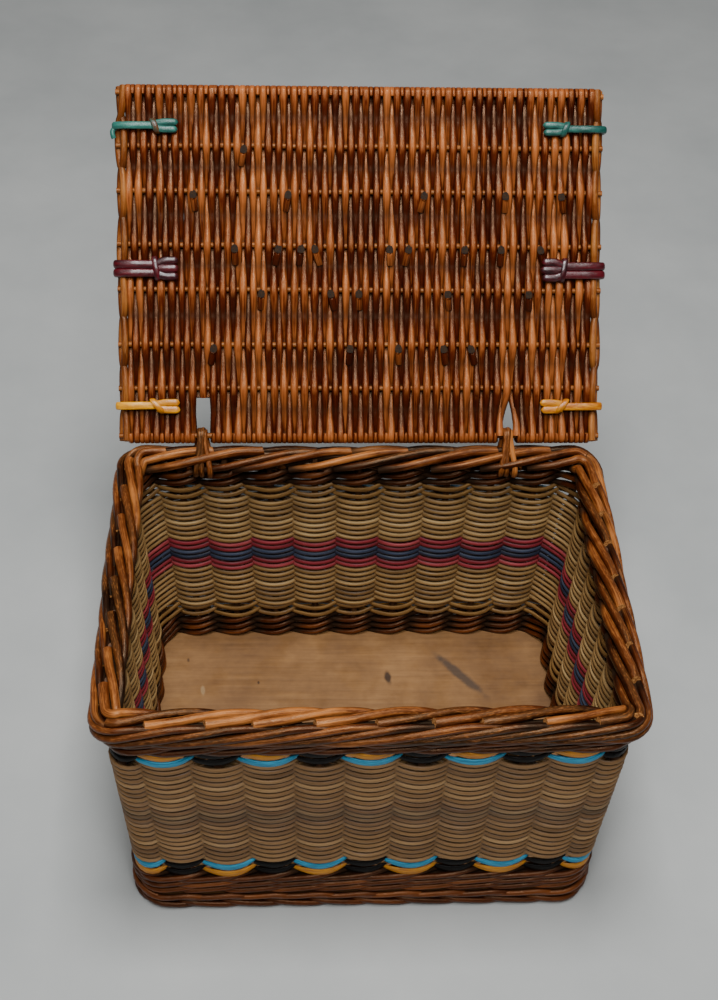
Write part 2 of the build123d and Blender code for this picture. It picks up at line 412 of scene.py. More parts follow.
def painted(name, paint_dark, paint_light, bare_dark, bare_light, gloss=0.5):
    """A flat strand painted on the outside of the basket, with bare cane inside and where it dives."""
    m = Shade(name)
    streak = m.noise(m.grain((90, 1300, 1300)), 1.0, 4.0)
    chips = m.noise(m.grain((500, 1400, 1400)), 1.0, 3.0)
    paint = m.ramp(streak, (0.34, paint_dark), (0.68, paint_light))
    bare = m.ramp(streak, (0.34, bare_dark), (0.68, bare_light))
    outside = m.spread(m.number("depth"), -0.8 * MM, -0.3 * MM)
    cover = m.spread(m.math("ADD", outside, m.math("MULTIPLY", chips, 0.5)), 0.62, 0.82)
    colour = m.mix(cover, bare, paint)
    # Painted shade where the strand dives and its flanks touch, where crown is low.
    colour = m.mix(m.spread(m.number("crown"), 0.0, 0.6, 0.75, 0.0), colour, (30, 20, 12))
    m.shader.inputs["Specular IOR Level"].default_value = gloss
    return m.finish(colour, m.spread(streak, 0.3, 0.7, 0.36, 0.6), chips, 0.0003)


def glossy_strand(name, dark, light, worn, wear=(0.66, 0.80), coat=0.1):
    """A flexible coloured strand with a smooth skin, a little worn."""
    m = Shade(name)
    streak = m.noise(m.grain((120, 500, 500)), 1.0, 3.0)
    scuff = m.noise(m.grain((300, 600, 600)), 1.0, 4.0, 0.7)
    value = m.math("ADD", m.math("MULTIPLY", streak, 0.7), m.math("MULTIPLY", m.number("tone"), 0.2))
    colour = m.ramp(value, (0.32, dark), (0.62, light))
    colour = m.mix(m.spread(scuff, wear[0], wear[1]), colour, worn)
    # Painted shade where crown is low, on touching flanks.
    colour = m.mix(m.spread(m.number("crown"), 0.0, 0.6, 0.6, 0.0), colour, dark)
    return m.finish(colour, m.spread(scuff, 0.35, 0.7, 0.3, 0.5), scuff, 0.00025, coat, 0.12)


# Stains of the board: centre, half sizes, turn, colour and strength. A dark spot, a grey smudge, a light
# mark, then broad faint stains
STAINS = (
    ((0.0247, 0.064), (0.0026, 0.0062), 0.1, (40, 22, 8), 0.9),
    ((-0.072, 0.060), (0.0009, 0.0016), 0.1, (40, 22, 8), 0.8),
    ((-0.125, 0.082), (0.0010, 0.0020), 0.1, (60, 38, 20), 0.7),
    ((0.079, 0.066), (0.026, 0.0040), -0.86, (58, 48, 40), 0.8),
    ((-0.113, 0.053), (0.0016, 0.0050), 0.1, (176, 150, 112), 0.6),
    ((-0.06, -0.03), (0.05, 0.03), 0.1, (112, 78, 46), 0.35),
    ((-0.10, 0.02), (0.03, 0.05), 0.1, (104, 70, 40), 0.30),
    ((0.06, -0.05), (0.05, 0.03), 0.1, (118, 82, 50), 0.30),
)


def board():
    """The floor board: wood grain along the basket, old stains, one dark spot and one grey smudge."""
    m = Shade("stained_board")
    place = m.place()
    fibre = m.noise(m.place((14, 260, 260)), 1.0, 6.0, 0.65)
    cloud = m.noise(place, 14.0, 5.0, 0.65)
    value = m.math("ADD", m.math("MULTIPLY", fibre, 0.28), m.math("MULTIPLY", cloud, 0.72))
    colour = m.ramp(value, (0.34, (96, 64, 34)), (0.68, (158, 116, 70)), (0.52, (130, 92, 52)))
    warp = m.noise(place, 160.0, 3.0)
    for centre, size, turn, stain, strength in STAINS:
        mapping = stain_place(m, centre, size, turn)
        reach = m.node("ShaderNodeVectorMath", {0: mapping}, operation="LENGTH").outputs["Value"]
        reach = m.math("ADD", reach, m.math("MULTIPLY", warp, 0.9))
        colour = m.mix(m.spread(reach, 0.95, 1.75, strength, 0.0), colour, stain)
    edge = m.noise(place, 45.0, 4.0)
    return m.finish(colour, m.spread(edge, 0.3, 0.7, 0.42, 0.66), fibre, 0.0002, 0.05, 0.4)


def stain_place(m, centre, size, turn):
    """Coordinates of a stain: zero at its centre, one at its edge."""
    source = m.node("ShaderNodeTexCoord", {}).outputs["Object"]
    inputs = {
        "Vector": source,
        "Location": (centre[0], centre[1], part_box("base_board")[1].z),
        "Rotation": (0, 0, turn),
        "Scale": (size[0], size[1], 1),
    }
    return m.node("ShaderNodeMapping", inputs, vector_type="TEXTURE").outputs["Vector"]


def plain_stake():
    """Willow for the stakes, whose mesh comes from the CAD: streaks run up the rods."""
    m = Shade("stake_willow")
    streak = m.noise(m.place((700, 700, 40)), 1.0, 4.0)
    patch = m.noise(m.place(), 30.0, 2.0)
    value = m.math("ADD", m.math("MULTIPLY", streak, 0.6), m.math("MULTIPLY", patch, 0.4))
    colour = m.ramp(value, (0.36, (58, 34, 18)), (0.66, (112, 74, 42)))
    return m.finish(colour, m.spread(streak, 0.3, 0.7, 0.5, 0.75), streak, 0.0003)


# Each willow's fourth colour is painted shade for where rods dive and touch; the number after it is a
# painted highlight on the crests.
BROWN = willow("brown_willow", (30, 9, 2), (72, 28, 7), (128, 68, 28), (10, 2, 0))
LID_BROWN = willow("lid_willow", (48, 7, 1), (86, 27, 5), (190, 108, 52), (24, 3, 0), 0.30, (0.24, 0.38))
GOLDEN = willow("golden_willow", (62, 24, 5), (116, 56, 16), (186, 120, 58), (26, 8, 2), 0.15)
RIM_BROWN = willow(
    "rim_willow", (24, 7, 2), (86, 36, 10), (190, 118, 58), (8, 2, 1), 0.1, (0.28, 0.44), (0.50, 0.68, 0.88)
)
# Painted shade: a shaded copy of the rim willow, for the rods that fill the border's hollows.
RIM_PAINTED_SHADE = willow("rim_painted_shade_willow", (14, 4, 1), (34, 12, 4), (70, 32, 12), (6, 2, 1))
CUT_BRIGHT = cut_end("cut_willow", (128, 74, 32), (206, 146, 84))
CUT_GREY = cut_end("weathered_cut", (20, 11, 5), (60, 40, 22))
WORN = glossy_strand("worn_strand", (60, 34, 12), (112, 72, 36), (50, 96, 84), (0.50, 0.62))
TAN = cane(
    "tan_cane",
    ((104, 72, 38), (142, 104, 60), (180, 142, 94)),
    ((104, 74, 38), (160, 124, 72), (206, 172, 116)),
)
RED = cane(
    "red_cane",
    ((92, 62, 36), (132, 96, 58), (170, 134, 92)),
    ((92, 16, 26), (146, 38, 50), (184, 84, 84)),
)
NAVY = cane(
    "navy_cane",
    ((88, 64, 38), (124, 94, 60), (162, 132, 92)),
    ((22, 28, 46), (46, 58, 82), (92, 100, 116)),
)
YELLOW_PAINT = painted("yellow_paint", (160, 92, 2), (222, 150, 12), (110, 78, 40), (158, 120, 68))
BLUE_PAINT = painted("blue_paint", (10, 104, 142), (52, 170, 208), (110, 78, 40), (158, 120, 68))
BLACK_PAINT = painted("black_paint", (2, 1, 1), (12, 8, 6), (110, 78, 40), (158, 120, 68), 0.15)
TURQUOISE = glossy_strand("turquoise_strand", (14, 70, 62), (54, 124, 110), (84, 52, 24))
MAROON = glossy_strand("maroon_strand", (40, 0, 6), (92, 2, 18), (30, 2, 4), (0.74, 0.86), 0.5)
YELLOW = glossy_strand("yellow_strand", (176, 98, 0), (244, 172, 14), (112, 62, 8), (0.70, 0.84))


# ---------------------------------------------------------------- woven wall

STEPS = 8
RING = np.arange(STAKES * STEPS) / STEPS

STRAND_OUT = 4.5 * MM
PAINT_OUT = 4.4 * MM
PAINT_THICK = 0.95 * MM
CANE_THICK = (0.95 * MM, 1.3 * MM)
CANE_TALL = (2.15 * MM, 1.80 * MM)


def plain_rows(name, node, slot, material, rows, first):
    """Rows of cane, each one going outside every second stake and inside the others."""
    low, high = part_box(node)
    strands = Strands()
    pitch = (high.z - low.z) / rows
    for row in range(rows):
        swing = np.cos(np.pi * RING) * (1 if (first + row) % 2 else -1)
        proud = np.abs(swing) ** 0.8
        out = STRAND_OUT * np.sign(swing) * proud + wander(RING, 0.12 * MM)
        z = low.z + (row + 0.5) * pitch + wander(RING, 0.16 * MM)
        path, normal = wall(RING, out, z)
        tall = CANE_TALL[0] + (CANE_TALL[1] - CANE_TALL[0]) * np.abs(swing) + wander(RING, 0.05 * MM, 30)
        thick = CANE_THICK[0] + (CANE_THICK[1] - CANE_THICK[0]) * np.abs(swing)
        # Painted shade: crown falls where the row dives between stakes, and the material darkens it.
        strands.add(path, normal, tall, thick, closed=True, crown=0.6 + 0.4 * proud, depth=out, groove=0.6)
    return strands.build(name, "basket", [node], slot, material)


def painted_round(name, node, slot, material, coloured_parity):
    """One round of two flat strands that change places between stakes: a painted one and a black one."""
    low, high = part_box(node)
    middle = (low.z + high.z) / 2
    half = (high.z - low.z) / 2
    pieces = []
    for which, paint in ((0, material), (1, BLACK_PAINT)):
        strands = Strands()
        swing = (1, -1)[which] * (np.cos(np.pi * (RING - coloured_parity)) + 0.18) / 1.18
        proud = np.abs(swing)
        out = PAINT_OUT * np.sign(swing) * proud**0.7
        aside = (1 - proud) ** 2 * np.sign(np.sin(np.pi * (RING - coloured_parity))) * (1, -1)[which]
        sag = 1.1 * MM - 2.0 * MM * proud
        z = middle + aside * 1.5 * MM + sag + wander(RING, 0.22 * MM)
        path, normal = wall(RING, out, z)
        tall = 1.7 * MM + (half - 2.1 * MM) * proud * np.where(out > 0, 1, 0.1)
        bare = 2 * MM * np.clip(out / MM, -1, 0)
        # Painted shade: crown falls where the strand dives, and the material darkens it.
        strands.add(
            path, normal, tall, PAINT_THICK, closed=True, square=0.8, crown=0.5 + 0.5 * proud, depth=bare,
            sides=10,
        )
        pieces.append(strands.build(name + ("", "_black")[which], "basket", [node], slot, paint))
    return pieces


def wale(strands, z, height, radius, out_row, rise_row, start=0.0):
    """One round of a three-rod wale: each rod goes outside two stakes, then inside one."""
    for rod in range(3):
        place = (RING - rod - start) * 2
        out = cycle(out_row, place) * MM + wander(RING, 0.12 * MM)
        rise = cycle(rise_row, place)
        path, normal = wall(RING, out, z + height * rise + wander(RING, 0.25 * MM))
        # Painted shade: crown falls where the rod passes the wall's middle between stakes, and the material
        # darkens it.
        crown = np.clip(np.abs(out) / (4.2 * MM), 0, 1)
        thick = radius * (1 + wander(RING, 0.03))
        strands.add(path, normal, thick, thick, closed=True, crown=crown, depth=out)


WALE_OUT = (4.0, 4.6, 4.0, 0.4, -4.0, -0.4)
WALE_RISE = (-0.6, 0.0, 0.6, 0.9, 0.0, -0.9)

LOWER_LEVELS = 3
LOWER_RADIUS, UPPER_RADIUS = 2.0 * MM, 2.15 * MM

lower_wale = Strands()
low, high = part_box("lower_wale")
for level in range(LOWER_LEVELS):
    middle = low.z + (level + 0.5) * (high.z - low.z) / LOWER_LEVELS
    wale(lower_wale, middle, 2.9 * MM, LOWER_RADIUS, WALE_OUT, WALE_RISE, level)
lower_wale.build("lower_wale_rods", "basket", ["lower_wale"], "brown_willow", BROWN)

painted_round("lower_yellow_strands", "lower_yellow_round", "yellow_cane", YELLOW_PAINT, 0)
painted_round("lower_blue_strands", "lower_blue_round", "blue_cane", BLUE_PAINT, 0)
plain_rows("lower_tan_rows", "lower_tan_weave", "tan_cane", TAN, 15, 1)
plain_rows("lower_red_rows", "lower_red_rounds", "red_cane", RED, 4, 0)
plain_rows("navy_rows", "navy_rounds", "navy_cane", NAVY, 4, 0)
plain_rows("upper_red_rows", "upper_red_rounds", "red_cane", RED, 4, 0)
plain_rows("upper_tan_rows", "upper_tan_weave", "tan_cane", TAN, 17, 0)
painted_round("upper_blue_strands", "upper_blue_round", "blue_cane", BLUE_PAINT, 1)
painted_round("upper_yellow_strands", "upper_yellow_round", "yellow_cane", YELLOW_PAINT, 1)

UPPER_START, UPPER_STEP = 2.9, 6.6

upper_wale = Strands()
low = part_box("upper_wale")[0]
for level in range(2):
    middle = low.z + (UPPER_START + UPPER_STEP * level) * MM
    wale(upper_wale, middle, 2.8 * MM, UPPER_RADIUS, WALE_OUT, WALE_RISE, level)
upper_wale.build("upper_wale_rods", "basket", ["upper_wale"], "brown_willow", BROWN)

# Foot: a border below the board whose rods show outside it, and a scalloped lowest round turned under it
foot = Strands()
wale(foot, 0, MM, 2.1 * MM, (5.4, 6.3, 6.1, 4.6, -2.5, 1.5), (11.8, 13.0, 14.4, 11.2, 8.0, 8.8))
wale(foot, 0, MM, 2.25 * MM, (5.2, 6.3, 5.4, 1.0, -4.0, 0.6), (5.8, 5.0, 3.6, 2.6, 3.0, 4.6), 1)
foot.build("foot_rods", "basket", ["foot_border"], "brown_willow", BROWN)


# ---------------------------------------------------------------- rim

rim_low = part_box("rim_border")[0]
RIM_SQUEEZE = (0.78, 1.3)
RIM_CORNER = (9.5 * MM, 0.95)
RIM_SAMPLES = 34
RIM_RISE = 2.5 * MM
INNER_RADIUS = 2.9 * MM
OUTER_RADIUS = 2.55 * MM
MIDDLE_RADIUS = 2.5 * MM

# Each stake turns down into the border as an inner rod with a cut end and an outer rod that rolls over it,
# and a dark rod in a shaded copy of the rim willow fills the hollow between them: painted shade. Rows:
# stakes along, mm outside the wall's middle, mm above the underside of the rim.
INNER_ROD = (
    (0.0, 3.4, 15.2), (0.4, 1.6, 16.2), (0.95, -2.0, 16.0),
    (1.5, -5.2, 14.4), (2.0, -6.6, 11.2), (2.5, -5.4, 7.0),
)
OUTER_ROD = (
    (-0.9, 2.0, 1.4), (-0.1, 7.6, 2.0), (0.7, 9.3, 6.2),
    (1.5, 9.2, 11.8), (2.2, 7.0, 14.8), (3.0, 4.4, 12.0),
)
MIDDLE_ROD = ((-0.5, -2.0, 5.0), (0.6, 2.6, 9.6), (1.6, 3.6, 11.4), (2.6, 1.4, 11.6), (3.4, -3.0, 9.6))


def rim_rod(strands, knots, stake, radius, slants, rim_start, light=1.3):
    """One rod of the border, from its knots, starting at its own stake."""
    rows = spline(knots, RIM_SAMPLES)
    turn = rows[:, 0] + stake
    nudge = rng.normal(size=2) * 0.3 * MM
    out = rows[:, 1] * MM + nudge[0] * np.linspace(0, 1, RIM_SAMPLES)
    z = rim_start + rows[:, 2] * MM + nudge[1]
    path, normal = wall(turn, out, z, RIM_SQUEEZE, RIM_CORNER)
    lean = rows[:, 2] * MM * FLARE_X * np.abs(normal[:, 0])
    path[:, :2] -= lean[:, None] * normal[:, :2]
    path[:, 2] += RIM_RISE * np.abs(normal[:, 1]) ** 2
    up = normal * 0.35 + np.array([0, 0, 1.0])
    size = radius * (1 + 0.06 * rng.normal())
    taper = np.linspace(1.06, 0.88, RIM_SAMPLES)
    # Painted shade: crown falls towards the rod's end, where it dives into the border's hollow; light sets
    # how high it starts.
    crown = np.clip(light - 1.2 * np.clip(np.linspace(-1.4, 1, RIM_SAMPLES), 0, 1), 0, 1)
    strands.add(path, up, size * taper, size * taper, sides=12, crown=crown, slants=slants)


rim = Strands()
rim_middle = Strands()
for stake in range(STAKES):
    rim_rod(rim, INNER_ROD, stake + 0.06 * rng.normal(), INNER_RADIUS, (0.35, 0), rim_low.z)
    rim_rod(rim, OUTER_ROD, stake + 0.45 + 0.05 * rng.normal(), OUTER_RADIUS, (0, -0.4), rim_low.z)
    middle_start = stake + 0.2 + 0.05 * rng.normal()
    rim_rod(rim_middle, MIDDLE_ROD, middle_start, MIDDLE_RADIUS, (0, 0), rim_low.z, 0.8)
rim.build("rim_rods", "basket", ["rim_border"], "brown_willow", RIM_BROWN, CUT_BRIGHT)
rim_middle.build("rim_middle_rods", "basket", ["rim_border"], "brown_willow", RIM_PAINTED_SHADE)


# ---------------------------------------------------------------- lid

def middle_of(node):
    low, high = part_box(node)
    return np.array((low + high) / 2)


HINGE = middle_of("lid_back_rod")
LID_AXIS = middle_of("lid_front_rod") - HINGE
LID_LENGTH = float(np.linalg.norm(LID_AXIS))
LID_AXIS = LID_AXIS / LID_LENGTH
LID_X = np.array([1.0, 0, 0])
LID_UP = np.cross(LID_X, LID_AXIS)
RIBS = [float(np.dot(middle_of(f"lid_rib_{i}") - HINGE, LID_AXIS)) for i in range(1, 7)]
BARS = np.array([0.0, *RIBS, LID_LENGTH])


def lid(x, along, rise):
    """Points of the lid."""
    x, along, rise = np.broadcast_arrays(x, along, rise)
    return HINGE + x[..., None] * LID_X + along[..., None] * LID_AXIS + rise[..., None] * LID_UP


WEAVERS = 91
WEAVE_HALF = 156.0 * MM
BAR_RADIUS = 1.95 * MM
WEAVER_RISE = 3.45 * MM
WEAVER_THICK = 1.6 * MM
WRAP_RADIUS = 3.8 * MM
WRAP_TURN = math.radians(200)
WRAP_STEPS = 9
FRONT_WRAP, BACK_WRAP = 3.0 * MM, 1.4 * MM
GAPS = {"left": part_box("left_hinge_loop"), "right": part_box("right_hinge_loop")}
GAP_HALF = 4.7 * MM
GAP_END = 22.5 * MM
SHORT_START = GAP_END + 3.5 * MM
GAP_REACH = 22 * MM
GAP_FADE = 8 * MM
GAP_MARGIN, GAP_NUDGE = 1.2 * MM, 2.2 * MM
WEAVE_STEP = 2.6 * MM


def weaver(strands, number, x):
    """One lid rod: woven over and under the ribs, and turned round the end rods."""
    hidden = [gap for gap in GAPS.values() if abs(x - (gap[0].x + gap[1].x) / 2) < GAP_HALF]
    sign = 1 if number % 2 else -1
    start_bar = SHORT_START if hidden and x < 0 else 0.0
    count = len(np.arange(start_bar, LID_LENGTH + 0.5 * WEAVE_STEP, WEAVE_STEP))
    along = np.linspace(start_bar, LID_LENGTH, count)
    place = np.interp(along, BARS, np.arange(len(BARS)))
    swing = np.cos(np.pi * place) * sign
    rise = WEAVER_RISE * np.sign(swing) * np.abs(swing) ** 1.9
    drift = rng.normal(size=4) * 0.22 * MM
    x_row = x + spline(drift[:, None], len(along))[:, 0]
    for side, gap in GAPS.items():
        centre = (gap[0].x + gap[1].x) / 2
        away = x - centre
        reach = math.exp(-(max(abs(away) - GAP_HALF, 0) / GAP_FADE))
        if abs(away) < GAP_REACH and side == "right":
            if abs(away) < GAP_HALF:
                push = (GAP_HALF + GAP_MARGIN) * np.sign(away) - away
            else:
                push = np.sign(away) * GAP_NUDGE
            ramp = np.clip((GAP_END + 6 * MM - along) / (GAP_END - 2 * MM), 0, 1)
            x_row = x_row + push * reach * ramp
    fat = 1 + 0.05 * rng.normal()
    across = (2.25 + 0.65 * np.abs(swing) ** 1.5) * MM * fat
    path = [lid(x_row, along, rise)]
    ups = [np.repeat(LID_UP[None], len(along), 0)]
    # Painted shade: crown falls between the ribs, where the weaver dives, and drops by a further share just
    # below each rib; the material darkens low crown.
    under = np.clip(2.5 * (np.round(place) - place), 0, 1)
    crown = [(0.48 + 0.52 * np.abs(swing) ** 1.6) * (1 - 0.22 * under)]
    width = [across]
    depth = [rise]
    for at_end in (False, True):
        if not at_end and hidden:
            continue
        face = swing[-1] if at_end else swing[0]
        side_sign = 1.0 if face > 0 else -1.0
        last_width = FRONT_WRAP if face > 0 else BACK_WRAP
        end_width = np.linspace(across[-1 if at_end else 0], last_width, WRAP_STEPS)
        angles = np.linspace(0, WRAP_TURN, WRAP_STEPS + 1)[1:]
        outwards = np.sin(angles) * WRAP_RADIUS * (1 if at_end else -1)
        up_down = side_sign * np.cos(angles) * WRAP_RADIUS
        base = LID_LENGTH if at_end else 0.0
        wrap = lid(np.full(WRAP_STEPS, x_row[-1 if at_end else 0]), base + outwards, up_down)
        up = outwards[:, None] * LID_AXIS + up_down[:, None] * LID_UP
        outermost = np.full(WRAP_STEPS, side_sign * WRAP_RADIUS)
        for rows, more in (
            (path, wrap), (ups, up), (crown, np.ones(WRAP_STEPS)), (width, end_width), (depth, outermost)
        ):
            if at_end:
                rows.append(more)
            else:
                rows.insert(0, more[::-1])
    path, ups, crown, width, depth = (np.concatenate(rows) for rows in (path, ups, crown, width, depth))
    strands.add(path, flip_free(path, unit(ups)), width, WEAVER_THICK, crown=crown, depth=depth, groove=0.7)


def flip_free(path, ups):
    """Outward directions made to follow the path's turning without flipping over."""
    tangent = unit(np.gradient(path, axis=0))
    out = np.cross(LID_X, tangent)
    sides = np.sign(np.einsum("ij,ij->i", out, ups))
    return out * (sides[len(sides) // 2] or 1.0)


weave = Strands()
for number in range(WEAVERS):
    weaver(weave, number, -WEAVE_HALF + number * 2 * WEAVE_HALF / (WEAVERS - 1))
weave.build("lid_weavers", "lid", ["lid_weave"], "brown_willow", LID_BROWN, CUT_BRIGHT)


def bar(name, node, along, radius):
    """An end rod or rib, a little bent, lighter than the weavers."""
    strands = Strands()
    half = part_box(node)[1].x
    x = np.linspace(-half, half, 60)
    sway = spline(rng.normal(size=(8, 2)) * 0.25 * MM, 60)
    strands.add(lid(x, along + sway[:, 0], sway[:, 1]), LID_UP, radius, radius, sides=12)
    strands.build(name, "lid", [node], "golden_willow", GOLDEN, CUT_BRIGHT)


for number, along in enumerate(BARS):
    node = {0: "lid_back_rod", 7: "lid_front_rod"}.get(number, f"lid_rib_{number}")
    bar(node + "_willow", node, along, BAR_RADIUS)


EDGE_OFFSET = 1.5 * MM
EDGE_PAST = 3.5 * MM
EDGE_INSET = 0.7 * MM
EDGE_SWING = 3.0 * MM
EDGE_SAMPLES = 110


def edge_rods(side, sign):
    """Two golden rods down a side edge of the lid, going opposite ways round the ribs."""
    node = f"lid_{side}_edge_rod"
    low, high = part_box(node)
    middle = sign * (abs(low.x) + abs(high.x)) / 2
    strands = Strands()
    for which, offset in ((1, -EDGE_OFFSET), (-1, EDGE_OFFSET)):
        along = np.linspace(-EDGE_PAST, LID_LENGTH + EDGE_PAST, EDGE_SAMPLES)
        place = np.interp(along, BARS, np.arange(len(BARS)))
        swing = np.cos(np.pi * place) * which
        wave = spline(rng.normal(size=(9, 1)) * 0.4 * MM, EDGE_SAMPLES)[:, 0]
        x = middle + sign * (offset * np.sign(swing) * np.abs(swing) ** 0.6 * which + wave - EDGE_INSET)
        # Painted shade: crown falls where the rod dives round a rib, and the material darkens it; the crests
        # get painted highlight.
        strands.add(
            lid(x, along, EDGE_SWING * swing), LID_UP, 2.5 * MM, 2.1 * MM, sides=10,
            crown=0.4 + 0.6 * np.abs(swing), slants=(0.3, 0.3),
        )
    strands.build(f"lid_{side}_edge_willow", "lid", [node], "golden_willow", GOLDEN, CUT_BRIGHT)


edge_rods("left", -1)
edge_rods("right", 1)

# Slanting cut ends of joined-in rods that show on the inner face: which rib, and mm from the lid's middle
JOINS = {
    2: (-102, -8, 26, 58, 78),
    3: (-68, -18, -1, 60, 115),
    4: (-85, -58, -42, -28, 20, 30, 70, 95, 125),
    5: (-112, -51, 40, 98, 138),
    6: (-81,),
}
joins = Strands()
for rib, places in JOINS.items():
    for x in places:
        lean = rng.normal() * 1.8
        steps = np.linspace(0, 1, 7)
        path = lid((x + lean * steps) * MM, BARS[rib] + (-13 + 10 * steps) * MM, (1.2 + 4.2 * steps) * MM)
        # Painted shade: crown falls towards the buried end of the join, and the material darkens it.
        joins.add(
            path, LID_UP, 2.4 * MM, 1.9 * MM, crown=0.4 + 0.4 * steps, depth=3.5 * MM, slants=(0, -1.5),
            sides=12,
        )
joins.build("lid_joined_ends", "lid", ["lid_weave"], "brown_willow", LID_BROWN, CUT_GREY)


# ---------------------------------------------------------------- ties

TIE_FACE = 5.5 * MM
TIE_EDGE = 164.9 * MM
KNOT_X = 138 * MM
TIE_END = 122.8 * MM

# For each colour, in mm: where its strands lie from the edge to the knot, where its folded ends lie
# inside the knot, the half width and half thickness of its strand, and how far the knot slants
TIES = {
    "yellow": ((0.0,), (2.3, -2.5), (2.7, 1.1), 3.4),
    "maroon": ((-2.9, 2.9), (5.4, 0.2, -5.2), (2.9, 1.7), 1.2),
    "turquoise": ((0.0,), (2.4, -2.4), (2.5, 1.5), 1.6),
}


# The loose tail of the left turquoise tie, in mm: from the lid's middle, along from its place, and rise
TIE_TAIL = ((164.5, -1, 2.0), (166.4, -3.5, 2.6), (166.2, -6.5, 2.4), (165.6, -8.2, 2.0))


def tie_strand(strands, sign, place, lane, half, thick, tilt):
    """The strand round the lid's edge: from its back, round, and over the face to the knot."""
    edge = TIE_EDGE + 0.6 * MM
    knots = [(148 * MM, -TIE_FACE), (157 * MM, -TIE_FACE), (edge - 1 * MM, -0.7 * TIE_FACE), (edge, 0),
             (edge - 1 * MM, 0.7 * TIE_FACE), (157 * MM, TIE_FACE), (148 * MM, TIE_FACE), (KNOT_X, TIE_FACE)]
    rows = spline(knots, 44)
    path = lid(sign * rows[:, 0], place + lane + np.linspace(-tilt, tilt, 44), rows[:, 1])
    tangent = unit(np.gradient(path, axis=0))
    up = np.cross(LID_AXIS, tangent)
    up = up * np.sign(np.dot(up[-1], LID_UP))
    strands.add(path, up, half, thick, sides=12, square=0.85)


def tie_end(strands, sign, place, lane, half, thick):
    """One folded end inside the knot, rounded off."""
    steps = np.linspace(0, 1, 22)
    x = KNOT_X + (TIE_END - KNOT_X) * steps + rng.normal() * 0.5 * MM * steps
    spread = lane * (0.55 + 0.45 * np.sin(np.pi / 2 * np.clip(steps * 2, 0, 1)))
    path = lid(sign * x, place + spread, TIE_FACE + 0.3 * MM * np.sin(np.pi * steps))
    size = np.sqrt(np.clip(1 - np.clip((steps - 0.8) / 0.2, 0, 1) ** 2, 0.02, 1))
    strands.add(path, LID_UP, half * size * 0.98, thick * size, sides=14, square=0.9)


def tie_knot(strands, sign, place, reach, slant):
    """The turn of strand over the others, lying aslant and going under them at both ends."""
    angle = np.radians(np.linspace(-115, 115, 30))
    x = KNOT_X + slant * np.sin(angle)
    path = lid(sign * x, place + reach * np.sin(angle), 4.1 * MM + 3.0 * MM * np.cos(angle))
    up = np.sin(angle)[:, None] * LID_AXIS + np.cos(angle)[:, None] * LID_UP
    strands.add(path, up, 2.1 * MM, 0.95 * MM, sides=12, square=0.85)


def tie(side, sign, colour, material):
    """A coloured strand tied round the side edge of the lid and folded back on itself inside."""
    node = f"{side}_{colour}_tie"
    low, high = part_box(node)
    place = float(np.dot(np.array((low + high) / 2) - HINGE, LID_AXIS))
    lanes, ends, (half, thick), slant = TIES[colour]
    strands = Strands()
    tilt = rng.normal() * 0.3 * MM
    for lane in lanes:
        tie_strand(strands, sign, place, lane * MM, half * MM, thick * MM, tilt)
    for lane in ends:
        tie_end(strands, sign, place, lane * MM, (half - 0.1) * MM, thick * MM)
    reach = (abs(ends[0]) + half * 0.75) * MM
    worn = colour == "turquoise" and side == "left"
    knot = Strands() if worn else strands
    tie_knot(knot, sign, place, reach, slant * MM)
    if worn:
        knot.build(f"{side}_{colour}_knot", "lid", [node], f"{colour}_strand", WORN)
        tail = spline(TIE_TAIL, 12) * MM
        strands.add(lid(sign * tail[:, 0], place + tail[:, 1], tail[:, 2]), LID_UP, 1.7 * MM, 1.5 * MM)
    strands.build(f"{side}_{colour}_strand", "lid", [node], f"{colour}_strand", material)


for side, sign in (("left", -1), ("right", 1)):
    for colour, material in (("yellow", YELLOW), ("maroon", MAROON), ("turquoise", TURQUOISE)):
        tie(side, sign, colour, material)


# ---------------------------------------------------------------- hinge loops

LOOP_SAMPLES = 90
LOOP_STRAND = 2.0 * MM
LOOP_FOOT = (109.7 * MM, 191.7 * MM, 6.5 * MM)
LOOP_HEAD_RADIUS = 4.15 * MM


def belt(samples):
    """A closed belt round the lid's back rod and the back of the rim: (y, z) and outward directions."""
    head = np.array([HINGE[1], HINGE[2]])
    foot = np.array(LOOP_FOOT[:2])
    gap = head - foot
    length = np.linalg.norm(gap)
    direction = math.atan2(gap[1], gap[0])
    lean = math.acos((LOOP_FOOT[2] - LOOP_HEAD_RADIUS) / length)
    arcs = []
    for centre, radius, start, stop in (
        (head, LOOP_HEAD_RADIUS, direction - lean, direction + lean),
        (foot, LOOP_FOOT[2], direction + lean, direction - lean + 2 * math.pi),
    ):
        angle = np.linspace(start, stop, 40)
        arcs.append(centre + radius * np.stack([np.cos(angle), np.sin(angle)], -1))
    corners = np.concatenate(arcs + [arcs[0][:1]])
    steps = np.concatenate([[0], np.cumsum(np.linalg.norm(np.diff(corners, axis=0), axis=1))])
    at = np.linspace(0, steps[-1], samples, endpoint=False)
    points = np.stack([np.interp(at, steps, corners[:, i]) for i in range(2)], -1)
    ahead = unit(np.roll(points, -1, 0) - np.roll(points, 1, 0))
    outward = np.stack([ahead[:, 1], -ahead[:, 0]], -1)
    return points, outward


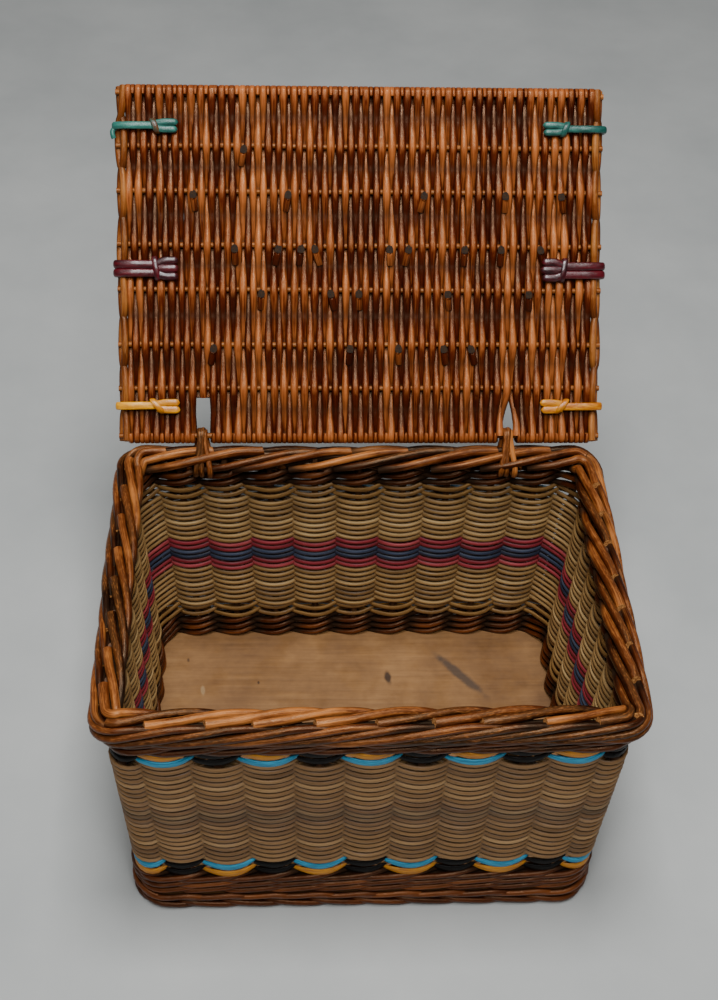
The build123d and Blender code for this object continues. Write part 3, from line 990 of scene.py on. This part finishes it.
def hinge_loop(side):
    """Strands of willow wound round the lid's back rod and the rim, spreading over the rim."""
    low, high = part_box(f"{side}_hinge_loop")
    centre = (low.x + high.x) / 2
    points, outward = belt(LOOP_SAMPLES)
    lowness = np.clip((HINGE[2] - points[:, 1]) / (14 * MM), 0, 1)
    strands = Strands()
    for number in range(3):
        lane = number - 1
        sway = np.sin(2 * np.pi * np.arange(LOOP_SAMPLES) / LOOP_SAMPLES + 2.1 * number)
        x = centre + (lane * (2.2 + 2.2 * lowness) + 0.7 * sway) * MM
        lift = (0.5 * sway - 0.3 * abs(lane)) * MM
        path = np.stack([x, points[:, 0] + lift * outward[:, 0], points[:, 1] + lift * outward[:, 1]], -1)
        up = np.stack([np.zeros(LOOP_SAMPLES), outward[:, 0], outward[:, 1]], -1)
        strands.add(path, up, LOOP_STRAND, LOOP_STRAND * 0.75, closed=True, sides=12)
    strands.build(f"{side}_hinge_strands", "basket", [f"{side}_hinge_loop"], "brown_willow", RIM_BROWN)


hinge_loop("left")
hinge_loop("right")


# ---------------------------------------------------------------- CAD nodes that stay

for node, material in (("base_board", board()), ("side_stakes", plain_stake())):
    for material_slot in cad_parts[node].material_slots:
        material_slot.material = material


# ---------------------------------------------------------------- floor, light and camera

def studio():
    """A plain pale floor under soft light from above."""
    half = 6.0
    mesh = bpy.data.meshes.new("floor")
    corners = [(-half, -half, 0), (half, -half, 0), (half, half, 0), (-half, half, 0)]
    mesh.from_pydata(corners, [], [(0, 1, 2, 3)])
    floor = bpy.data.objects.new("floor", mesh)
    bpy.context.scene.collection.objects.link(floor)
    m = Shade("pale_floor")
    mottle = m.noise(m.place(), 5.0, 5.0)
    colour = m.ramp(mottle, (0.3, (170, 173, 172)), (0.7, (186, 188, 186)))
    mesh.materials.append(m.finish(colour, m.spread(mottle, 0.3, 0.7, 0.6, 0.75), mottle, 0.0002))
    for name, place, target, size, power in (
        ("key", (-0.05, -0.85, 1.85), (0, 0.05, 0.15), 0.7, 22),
        ("overhead", (0.0, -0.02, 2.1), (0, 0.05, 0.1), 0.6, 32),
    ):
        light = bpy.data.lights.new(name, "AREA")
        light.size = size
        light.energy = power
        lamp = bpy.data.objects.new(name, light)
        lamp.location = place
        lamp.rotation_mode = "QUATERNION"
        lamp.rotation_quaternion = (Vector(target) - Vector(place)).to_track_quat("-Z", "Y")
        bpy.context.scene.collection.objects.link(lamp)
    world = bpy.data.worlds.new("studio")
    world.use_nodes = True
    background = world.node_tree.nodes["Background"]
    background.inputs["Color"].default_value = (0.86, 0.87, 0.88, 1)
    background.inputs["Strength"].default_value = 0.10
    bpy.context.scene.world = world


def camera():
    """The viewing angle: above the front, looking down into the basket."""
    pitch, yaw, roll = 0.78078, 0.06445, 0.0432
    place = Vector((-49.4, -659.1, 922.2)) * MM
    forward = Vector((math.sin(yaw) * math.cos(pitch), math.cos(yaw) * math.cos(pitch), -math.sin(pitch)))
    level = Vector((math.cos(yaw), -math.sin(yaw), 0))
    upright = level.cross(forward)
    right = math.cos(roll) * level + math.sin(roll) * upright
    up = math.cos(roll) * upright - math.sin(roll) * level
    data = bpy.data.cameras.new("camera")
    data.sensor_width = 36
    data.lens = 55.42
    data.clip_start = 0.01
    eye = bpy.data.objects.new("camera", data)
    turn = Matrix((right, up, -forward)).transposed()
    eye.matrix_world = Matrix.Translation(place) @ turn.to_4x4()
    bpy.context.scene.collection.objects.link(eye)
    bpy.context.scene.camera = eye


studio()
camera()
